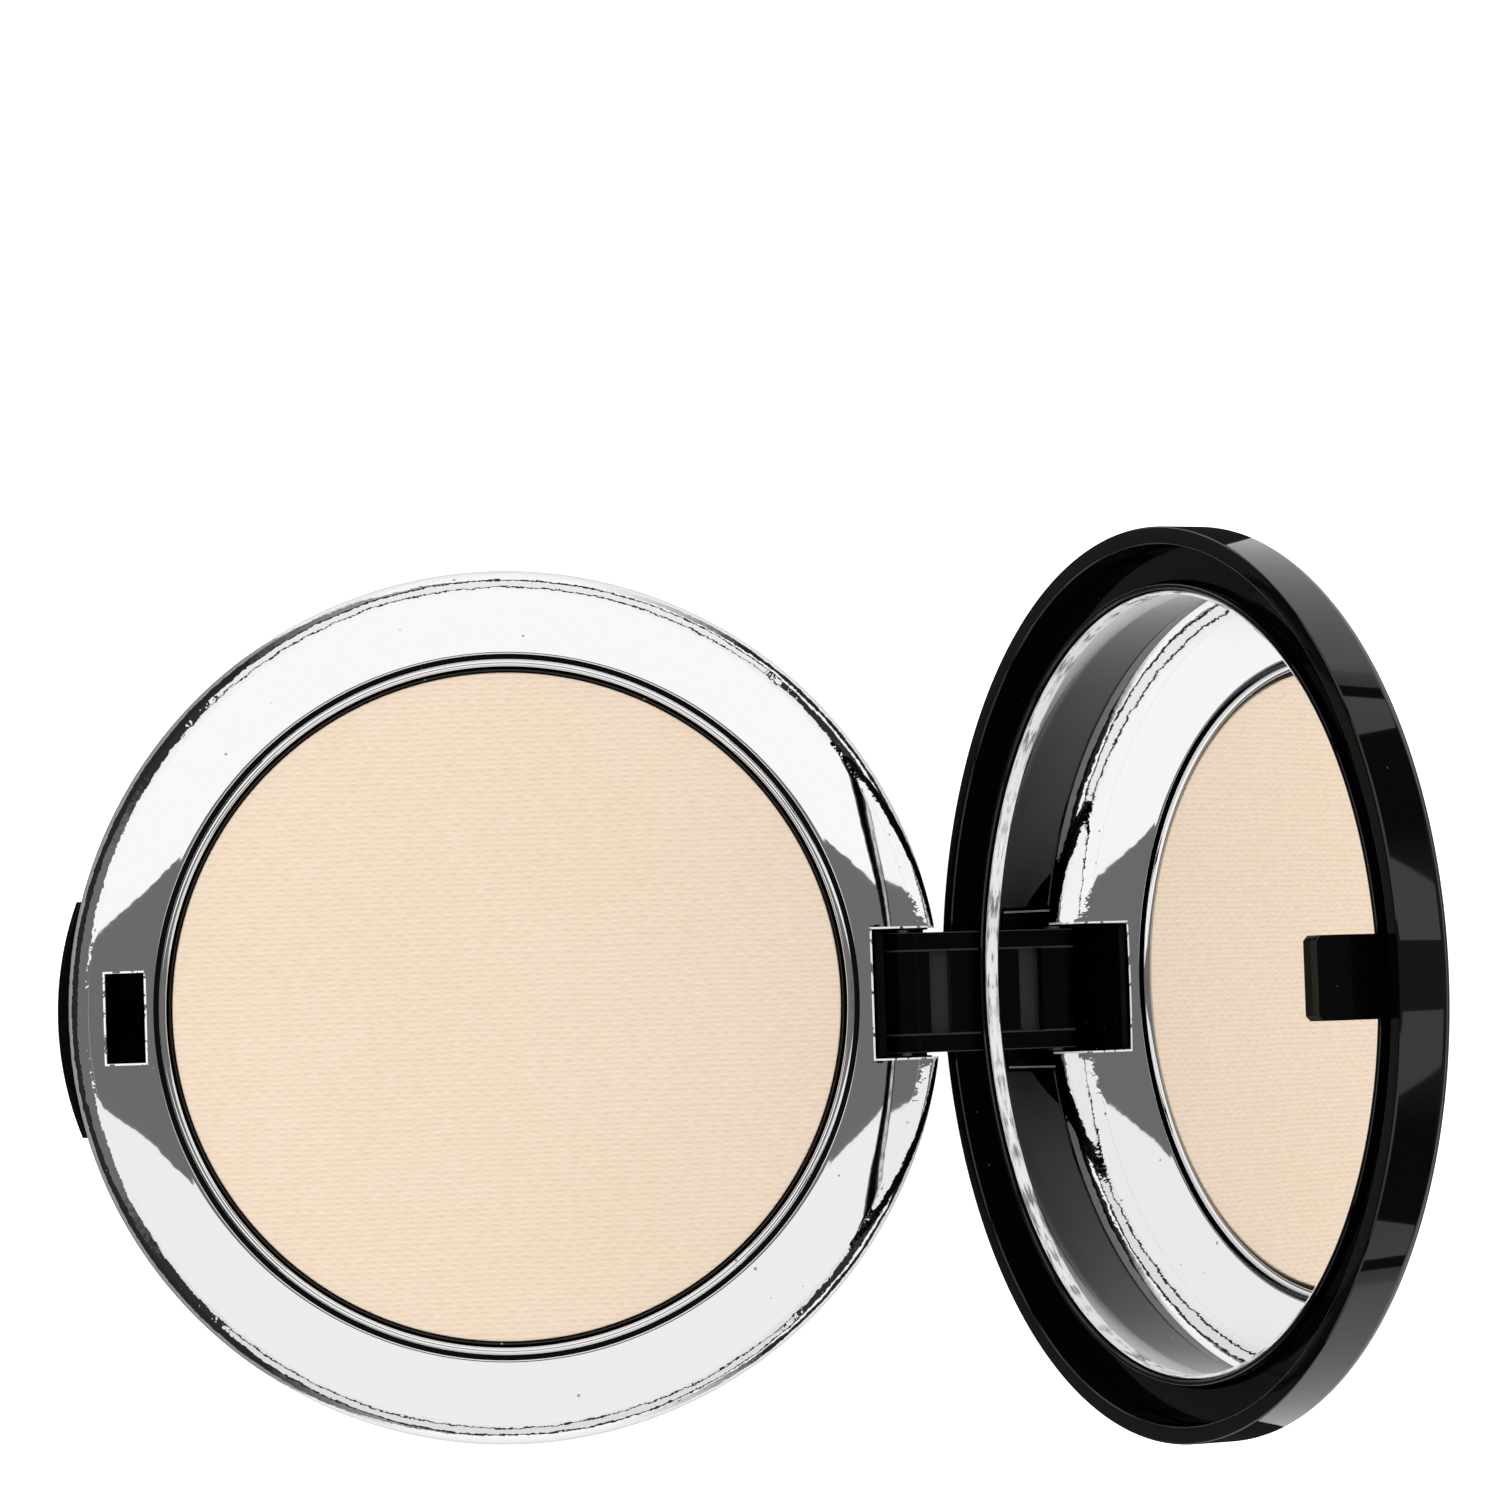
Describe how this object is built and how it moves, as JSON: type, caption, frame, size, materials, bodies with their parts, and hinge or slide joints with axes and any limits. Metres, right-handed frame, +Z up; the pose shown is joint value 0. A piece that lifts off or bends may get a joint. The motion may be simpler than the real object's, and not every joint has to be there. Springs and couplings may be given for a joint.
{
  "type": "powder compact",
  "caption": "Round hinged powder compact: black case, chrome deck with a pressed powder pan, push-button latch and a lid with a round mirror, shown open.",
  "frame": {"origin": "centre of the flat underside of the base", "axes": "+Z up out of the powder, +Y from the push button towards the hinge, X along the hinge pin"},
  "size_m": [0.0764, 0.1102, 0.0727],
  "materials": {
    "gloss_black": "polished black moulded plastic",
    "chrome_plating": "metallised moulded plastic, mirror bright",
    "pan_metal": "thin pressed dish, bright",
    "steel": "plain steel",
    "powder": "matt pressed powder with a cloth weave pressed into it",
    "mirror_silver": "silvered glass with a ground edge",
    "adhesive_tape": "double-sided foam adhesive"
  },
  "bodies": {
    "base": {"base_case": "gloss_black", "deck_insert": "chrome_plating", "hinge_block": "gloss_black", "hinge_pin": "steel", "powder_pan": "pan_metal", "pan_adhesive": "adhesive_tape", "pressed_powder": "powder", "button_spring": "steel"},
    "lid": {"lid_shell": "gloss_black", "lid_frame": "gloss_black", "mirror_glass": "mirror_silver", "mirror_adhesive": "adhesive_tape"},
    "button": {"push_button": "gloss_black"}
  },
  "joints": [
    {"name": "lid_hinge", "type": "hinge", "parent": "base", "child": "lid", "pos_m": [0, 0.03499, 0.007], "axis": [1, 0, 0], "range_deg": [0, 111.6]},
    {"name": "button_push", "type": "slide", "parent": "base", "child": "button", "axis": [0, 1, 0], "range_m": [0, 0.0007], "stiffness_N_per_m": 400, "springref_m": -0.0007, "deforming": ["button_spring"]}
  ]
}
